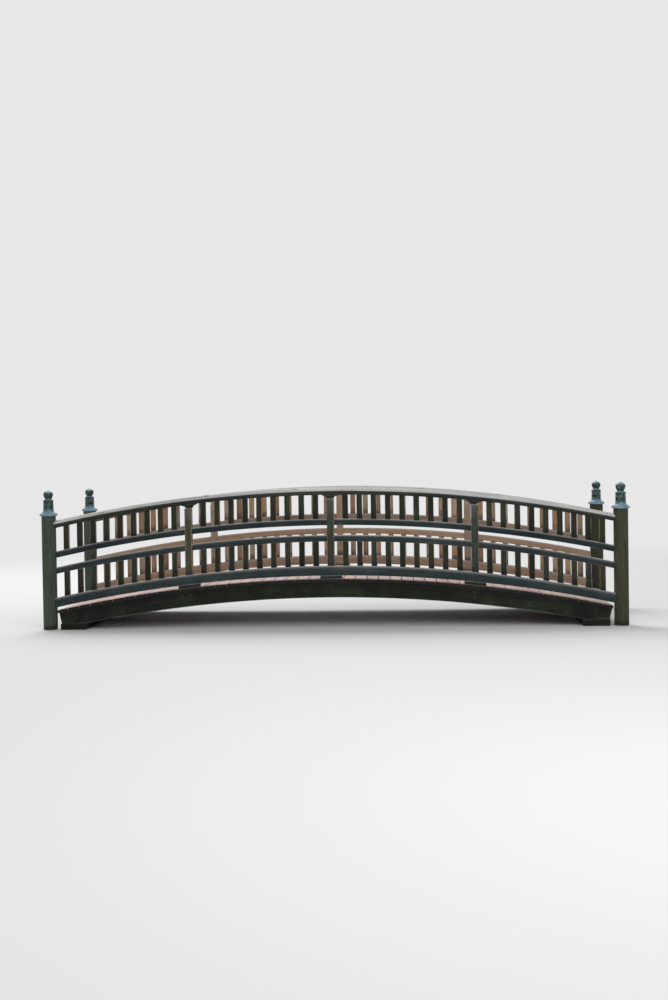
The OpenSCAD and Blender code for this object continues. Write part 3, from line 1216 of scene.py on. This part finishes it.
class FOOTBRIDGE_OT_end_posts(Step, bpy.types.Operator):
    """Stand the round end posts, with drying checks down their sides"""

    bl_idname = "footbridge.end_posts"
    bl_label = "Round End Posts"

    sides: a_number("Sides", "Sides of the round post", 64, 24, 96)
    rings: a_number("Rings", "Rings of edges up the post", 24, 8, 48)
    checks: a_number("Checks", "Drying checks in a post", 5, 1, 9)
    check_width: a_length("Check width", "Width of a drying check", 0.005)
    check_depth: a_length("Check depth", "Depth of a drying check", 0.014)

    def check_runs(self, middle, radius, levels, chance):
        """Runs of points up the post, 6 to 14 rings long, each in its own part of the way round."""
        runs = []
        for number in range(self.checks):
            column = (number + chance.uniform(0.1, 0.9)) * self.sides // self.checks
            angle = 2 * math.pi * column / self.sides
            start = chance.randrange(0, self.rings // 2)
            end = min(self.rings, start + chance.randrange(6, 15))
            x = middle.x + radius * math.sin(angle)
            y = middle.y + radius * math.cos(angle)
            runs.append([Vector((x, y, level)) for level in levels[start:end]])
        return runs

    def execute(self, context):
        chance = random.Random(20)
        for side in SIDES:
            for end in ENDS:
                node = f"end_post_{side}_{end}"
                low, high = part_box(node)
                middle = (low + high) / 2
                radius = (high.x - low.x) / 2
                height = high.z - low.z
                lay_down_tools()
                bpy.ops.mesh.primitive_cylinder_add(
                    vertices=self.sides, radius=radius, depth=height, location=middle,
                )
                piece = settle()
                ease(piece, sizes().worn_edge, 3)
                levels = [low.z + height * (ring + 1) / (self.rings + 1) for ring in range(self.rings)]
                score(levels)
                mark_grain(piece, chance, "z", foot=low.z)
                runs = self.check_runs(middle, radius, levels, chance)
                open_checks(piece, runs, self.check_width, self.check_depth)
                finished(piece, f"{node}_log", "End post wood", [node])
        return {"FINISHED"}


class FOOTBRIDGE_OT_slats(Step, bpy.types.Operator):
    """Fit the slats of both tiers between the rails, sawn to their slope"""

    bl_idname = "footbridge.slats"
    bl_label = "Railing Slats"

    def execute(self, context):
        chance = random.Random(21)
        width, edge = sizes().slat_width, sizes().eased_edge
        tiers = (("bottom_rail", "lower_rail"), ("upper_rail", "top_rail"))
        for side in SIDES:
            arch = railing_arches(side)
            for bay in BAYS:
                node = f"slats_{side}_{bay}"
                low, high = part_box(node)
                pitch = (high.x - low.x - width) / (sizes().slats_per_bay - 1)
                parts = []
                for number in range(sizes().slats_per_bay):
                    x = low.x + width / 2 + number * pitch
                    for below, above in tiers:
                        foot = arch[below].sloped(x)
                        head = arch[above].sloped(x, arch[above].depth)
                        piece = upright(x, arch[below].y, width, high.y - low.y, foot, head, edge)
                        mark_grain(piece, chance, "z", foot=foot[0].z)
                        parts.append(piece)
                finished(joined(parts), f"{node}_boards", "Slat wood", [node])
        return {"FINISHED"}


class FOOTBRIDGE_OT_finials(Step, bpy.types.Operator):
    """Turn the metal caps on the end posts, ring by ring"""

    bl_idname = "footbridge.finials"
    bl_label = "Metal Finials"

    sides: a_number("Sides", "Sides of the turned cap", 64, 24, 96)
    steps: a_number("Steps", "Steps in each round or hollow stretch", 10, 4, 20)
    clearance: a_length("Clearance", "Gap between a post and the socket of its cap", 0.0004)
    # The skirt's patina is partly a painted highlight of the sky
    patina_top: a_length(
        "Patina top", "Height above the cap's foot at which the skirt's patina has faded out", 0.085,
    )
    patina_fade: a_length("Patina fade", "Height over which the skirt's patina fades", 0.045)

    def hollow(self, wide, narrow, low, high):
        """Rings of a hollow stretch, drawn in from a wide ring to a narrow one above it."""
        angles = [math.pi / 2 * step / self.steps for step in range(self.steps + 1)]
        return [
            (wide - (wide - narrow) * math.sin(angle), high - (high - low) * math.cos(angle))
            for angle in angles
        ]

    def outline(self, height, skirt, socket):
        """Radius and height of each ring, down the wall of the socket, round the rim and up to the tip."""
        body, neck, lip, bulb = 0.064, 0.042, 0.066, 0.061
        rim, flare, girth, lip_top, neck_top, bulb_middle = 0.03, 0.08, 0.13, 0.2, 0.222, 0.275
        tip_drop = 0.011
        # Two flat bands of the rim with a groove between them, and the flare above
        rings = [(socket, 0.0), (skirt - 0.003, 0.0), (skirt, 0.003), (skirt, 0.01), (skirt - 0.002, 0.013)]
        rings += [(skirt - 0.002, 0.022), (skirt, 0.024), (skirt, rim - 0.002), (skirt - 0.004, rim)]
        rings += self.hollow(skirt - 0.006, body, rim, flare)
        # Round bead at the foot of the body, and a thin flat ring halfway up it
        rings += [(body + out, flare + up) for out, up in ((0.003, 0.001), (0.0045, 0.004), (0.003, 0.007))]
        rings += [(body, flare + 0.008), (body - 0.001, girth), (body + 0.001, girth + 0.002)]
        rings += [(body + 0.001, girth + 0.008), (body - 0.001, girth + 0.01)]
        # Lip at the head of the body, and the neck above it
        rings += [(body - 0.002, lip_top - 0.024), (lip - 0.001, lip_top - 0.01), (lip, lip_top - 0.008)]
        rings += [(lip, lip_top - 0.002), (lip - 0.002, lip_top)]
        rings += self.hollow(lip, neck, lip_top, neck_top)[1:]
        # Bulb: from the neck out to its middle, and in to the tip
        foot_angle = math.acos(neck / bulb)
        top_angle = math.radians(80)
        shares = [(step + 1) / self.steps for step in range(self.steps)]
        lower = (bulb_middle - neck_top) / math.sin(foot_angle)
        upper = (height - tip_drop - bulb_middle) / math.sin(top_angle)
        turns = [(-foot_angle * (1 - share), lower) for share in shares]
        turns += [(top_angle * share, upper) for share in shares]
        rings += [(bulb * math.cos(turn), bulb_middle + tall * math.sin(turn)) for turn, tall in turns]
        return rings + [(0.006, height - 0.004), (0.003, height - 0.0008)]

    def turned(self, middle, base, lap, rings):
        """Draw a disc out ring by ring into a closed shell. The first ring's radius is the disc's."""
        radius, z = rings[0][0], base + lap
        lay_down_tools()
        bpy.ops.mesh.primitive_circle_add(
            vertices=self.sides, radius=radius, fill_type="NGON", location=(middle.x, middle.y, z),
        )
        piece = settle()
        with whole_mesh():
            bpy.ops.mesh.select_mode(type="FACE")
            bpy.ops.mesh.select_all(action="SELECT")
            for next_radius, height in rings:
                next_z = base + height
                factor = next_radius / radius
                bpy.ops.mesh.extrude_region_move(TRANSFORM_OT_translate={"value": (0, 0, next_z - z)})
                bpy.ops.transform.resize(
                    value=(factor, factor, 1), center_override=(middle.x, middle.y, next_z),
                )
                radius, z = next_radius, next_z
            bpy.ops.mesh.select_all(action="SELECT")
            bpy.ops.mesh.normals_make_consistent(inside=False)
        return piece

    def execute(self, context):
        for side in SIDES:
            for end in ENDS:
                node = f"finial_{side}_{end}"
                low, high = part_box(node)
                post_low, post_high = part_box(f"end_post_{side}_{end}")
                socket = (post_high.x - post_low.x) / 2 + self.clearance
                rings = self.outline(high.z - low.z, (high.x - low.x) / 2, socket)
                piece = self.turned((low + high) / 2, low.z, post_high.z - low.z, rings)
                # Mask of the skirt's patina and painted highlight
                heights = places(piece)[:, 2] - low.z
                skirt = np.clip((self.patina_top - heights) / self.patina_fade, 0, 1)
                note(piece, "skirt", "FLOAT", "POINT", skirt)
                finished(piece, f"{node}_metal", "Patinated metal", [node], smooth=50)
        return {"FINISHED"}


class FOOTBRIDGE_OT_nails(Step, bpy.types.Operator):
    """Drive two nails through each deck board into each girder"""

    bl_idname = "footbridge.nails"
    bl_label = "Deck Nails"

    radius: a_length("Head radius", "Radius of a nail head", 0.007)
    height: a_length("Head height", "Height of a nail head, mostly sunk in its board", 0.003)
    drop: a_length("Drop", "How far the middle of a head lies below the deck line", 0.0016)
    head_edge: a_length("Head edge", "Worn edge of a nail head", 0.0008)
    inset: a_length("Inset", "From a board's edge to its nails", 0.03)
    stray: some_lengths("Stray", "How far a nail may stray along and across the bridge", (0.004, 0.012))

    def execute(self, context):
        chance = random.Random(22)
        arch = Arch("deck")
        half_board = board_pitch(arch) * arch.radius / 2
        spots = []
        for place in GIRDERS:
            low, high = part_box(f"girder_{place}")
            for angle in board_angles(arch):
                for edge in (-1, 1):
                    run = angle * arch.radius + edge * (half_board - self.inset)
                    x = math.sin(run / arch.radius) * arch.radius + chance.uniform(-1, 1) * self.stray[0]
                    y = (low.y + high.y) / 2 + chance.uniform(-1, 1) * self.stray[1]
                    spots.append(((x, y, arch.point(x, self.drop).z), (0, arch.tilt(x), 0)))
        lay_down_tools()
        bpy.ops.mesh.primitive_cylinder_add(
            vertices=8, radius=self.radius, depth=self.height, location=(0, 0, 0),
        )
        first = settle()
        ease(first, self.head_edge, 1)
        finished(copies(first, spots), "deck_nail_heads", "Old iron")
        return {"FINISHED"}


class FOOTBRIDGE_OT_bolts(Step, bpy.types.Operator):
    """Bolt the outer girders to their braces, over square washers"""

    bl_idname = "footbridge.bolts"
    bl_label = "Girder Bolts"

    washer: a_length("Washer", "Side of the square washer", 0.042)
    plate: a_length("Plate", "Thickness of the washer", 0.004)
    plate_edge: a_length("Plate edge", "Worn edge of the washer", 0.001)
    head: a_length("Head", "Radius of the domed head", 0.013)
    drops: some_lengths("Drops", "How far the bolts lie below the deck boards", (0.06, 0.12))

    def bolt(self):
        """A square washer under a round head that is drawn out into a dome."""
        half = self.washer / 2
        height = self.plate * 1.5
        washer = square_timber((-half, -half, 0), (half, half, self.plate))
        ease(washer, self.plate_edge, 1)
        lay_down_tools()
        bpy.ops.mesh.primitive_cylinder_add(
            vertices=12, radius=self.head, depth=height, location=(0, 0, height),
        )
        head = settle()
        pick(head, "FACE", [max(head.data.polygons, key=lambda face: face.center.z)])
        for rise, share in ((0.0025, 0.86), (0.0015, 0.6)):
            bpy.ops.mesh.extrude_region_move(TRANSFORM_OT_translate={"value": (0, 0, rise)})
            bpy.ops.transform.resize(value=(share, share, 1))
        bpy.ops.object.mode_set(mode="OBJECT")
        return joined([washer, head])

    def execute(self, context):
        deck = Arch("deck")
        spots = []
        for side, outward in SIDES.items():
            low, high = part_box(f"girder_{side}")
            face = low.y if outward < 0 else high.y
            for x in brace_places():
                for drop in self.drops:
                    point = deck.point(x, deck.depth + drop)
                    turn = (-outward * math.pi / 2, deck.tilt(x), 0)
                    spots.append(((point.x, face, point.z), turn))
        finished(copies(self.bolt(), spots), "girder_bolts", "Old iron")
        return {"FINISHED"}


class FOOTBRIDGE_OT_stage(Step, bpy.types.Operator):
    """Lay the studio floor and set the lights, the background and the camera"""

    bl_idname = "footbridge.stage"
    bl_label = "Studio"

    floor_radius: a_length("Floor radius", "Radius of the studio floor", 60.0)
    fade: some_lengths("Fade", "Where the floor starts and ends fading into the background", (5.0, 18.0))
    camera_place: a_place("Camera place", "Where the camera stands", (1.02, -16.31, 1.93))
    pitch: an_angle("Pitch", "Upward tilt of the camera", -1.23)
    roll: an_angle("Roll", "Turn of the camera about its view", -0.89)
    lens: a_level("Lens", "Focal length in millimetres on a 36 mm frame", 44.0)
    world_level: a_level("World level", "Light from all round", 0.5)
    key_place: a_place("Key place", "Where the large lamp hangs, above and behind", (-6.0, 9.0, 16.0))
    key_size: a_length("Key size", "Width of the large lamp", 14.0)
    key_level: a_level("Key level", "Power of the large lamp", 2200.0)
    fill_place: a_place("Fill place", "Where the soft lamp hangs, on the camera's side", (4.0, -11.0, 6.0))
    fill_size: a_length("Fill size", "Width of the soft lamp", 8.0)
    fill_level: a_level("Fill level", "Power of the soft lamp", 380.0)

    def floor(self):
        """A wide pale disc that keeps the shadow near the bridge and fades into the background."""
        lay_down_tools()
        bpy.ops.mesh.primitive_circle_add(
            vertices=128, radius=self.floor_radius, fill_type="NGON", location=(0, 0, 0),
        )
        floor = settle()
        floor.name = "studio_floor"
        material, shader, graph = new_material("Studio floor")
        graph.feed_all(shader, {"Base Color": colours().studio, "Roughness": 0.9, "Specular IOR Level": 0.1})
        far = graph.ramp(graph.length(graph.place()), *self.fade)
        seen = graph.add("ShaderNodeLightPath").outputs["Is Camera Ray"]
        graph.show_studio("ShaderNodeEmission", graph.times(far, seen), shader, "Material Output")
        floor.data.materials.append(material)

    def background(self):
        """White light from all round, behind a plain pale backdrop."""
        world = bpy.data.worlds.new("Studio")
        bpy.context.scene.world = world
        world.use_nodes = True
        graph = Graph(world.node_tree)
        light = graph.tree.nodes["Background"]
        graph.feed_all(light, {"Color": (1, 1, 1), "Strength": self.world_level})
        path = graph.add("ShaderNodeLightPath").outputs
        mirrored = graph.math("MAXIMUM", path["Is Glossy Ray"], path["Is Transmission Ray"])
        seen = graph.math("MAXIMUM", path["Is Camera Ray"], mirrored)
        graph.show_studio("ShaderNodeBackground", seen, light, "World Output")

    def lamp(self, name, place, size, power):
        """A round lamp that shines on the middle of the bridge."""
        lay_down_tools()
        bpy.ops.object.light_add(type="AREA", location=place)
        lamp = bpy.context.object
        lamp.name = name
        lamp.data.shape = "DISK"
        lamp.data.size = size
        lamp.data.energy = power
        lamp.rotation_mode = "QUATERNION"
        lamp.rotation_quaternion = (-Vector(place)).to_track_quat("-Z", "Y")

    def camera(self):
        """The camera in its place, turned so that the near end posts are evenly to the left and right."""
        place = Vector(self.camera_place)
        near_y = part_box("end_post_front_left")[0].y
        bearings = [math.atan2(x - place.x, near_y - place.y) for x in (-HALF_SPAN, HALF_SPAN)]
        yaw = sum(bearings) / 2
        level = math.cos(self.pitch)
        ahead = Vector((math.sin(yaw) * level, math.cos(yaw) * level, math.sin(self.pitch)))
        bpy.ops.object.camera_add(location=place)
        camera = bpy.context.object
        camera.name = "photograph_view"
        camera.rotation_mode = "QUATERNION"
        camera.rotation_quaternion = ahead.to_track_quat("-Z", "Y") @ Quaternion((0, 0, 1), self.roll)
        camera.data.sensor_width = 36.0
        camera.data.lens = self.lens
        bpy.context.scene.camera = camera

    def execute(self, context):
        self.floor()
        self.background()
        self.lamp("key_light", self.key_place, self.key_size, self.key_level)
        self.lamp("fill_light", self.fill_place, self.fill_size, self.fill_level)
        self.camera()
        context.scene.view_settings.view_transform = "Standard"
        return {"FINISHED"}


class FOOTBRIDGE_PT_workshop(bpy.types.Panel):
    """Sizes, colours and building steps of the footbridge"""

    bl_label = "Arched Footbridge"
    bl_idname = "FOOTBRIDGE_PT_workshop"
    bl_space_type = "VIEW_3D"
    bl_region_type = "UI"
    bl_category = "Footbridge"

    def draw(self, context):
        for group in (context.scene.footbridge_sizes, context.scene.footbridge_colours):
            box = self.layout.box()
            for field in group.bl_rna.properties:
                if field.identifier not in ("rna_type", "name"):
                    box.prop(group, field.identifier)
        column = self.layout.column()
        for step in STEPS:
            column.operator(step.bl_idname)


STEPS = (
    FOOTBRIDGE_OT_sills,
    FOOTBRIDGE_OT_girders,
    FOOTBRIDGE_OT_braces,
    FOOTBRIDGE_OT_deck,
    FOOTBRIDGE_OT_blocks,
    FOOTBRIDGE_OT_flat_rails,
    FOOTBRIDGE_OT_top_rails,
    FOOTBRIDGE_OT_saddles,
    FOOTBRIDGE_OT_posts,
    FOOTBRIDGE_OT_end_posts,
    FOOTBRIDGE_OT_slats,
    FOOTBRIDGE_OT_finials,
    FOOTBRIDGE_OT_nails,
    FOOTBRIDGE_OT_bolts,
    FOOTBRIDGE_OT_stage,
)
CLASSES = (FootbridgeSizes, FootbridgeColours, *STEPS, FOOTBRIDGE_PT_workshop)


def register():
    for kind in CLASSES:
        bpy.utils.register_class(kind)
    bpy.types.Scene.footbridge_sizes = PointerProperty(type=FootbridgeSizes)
    bpy.types.Scene.footbridge_colours = PointerProperty(type=FootbridgeColours)


def unregister():
    del bpy.types.Scene.footbridge_colours
    del bpy.types.Scene.footbridge_sizes
    for kind in reversed(CLASSES):
        bpy.utils.unregister_class(kind)


def main():
    register()
    for step in STEPS:
        name = step.bl_idname.split(".")[1]
        getattr(bpy.ops.footbridge, name)()


if __name__ == "__main__":
    main()
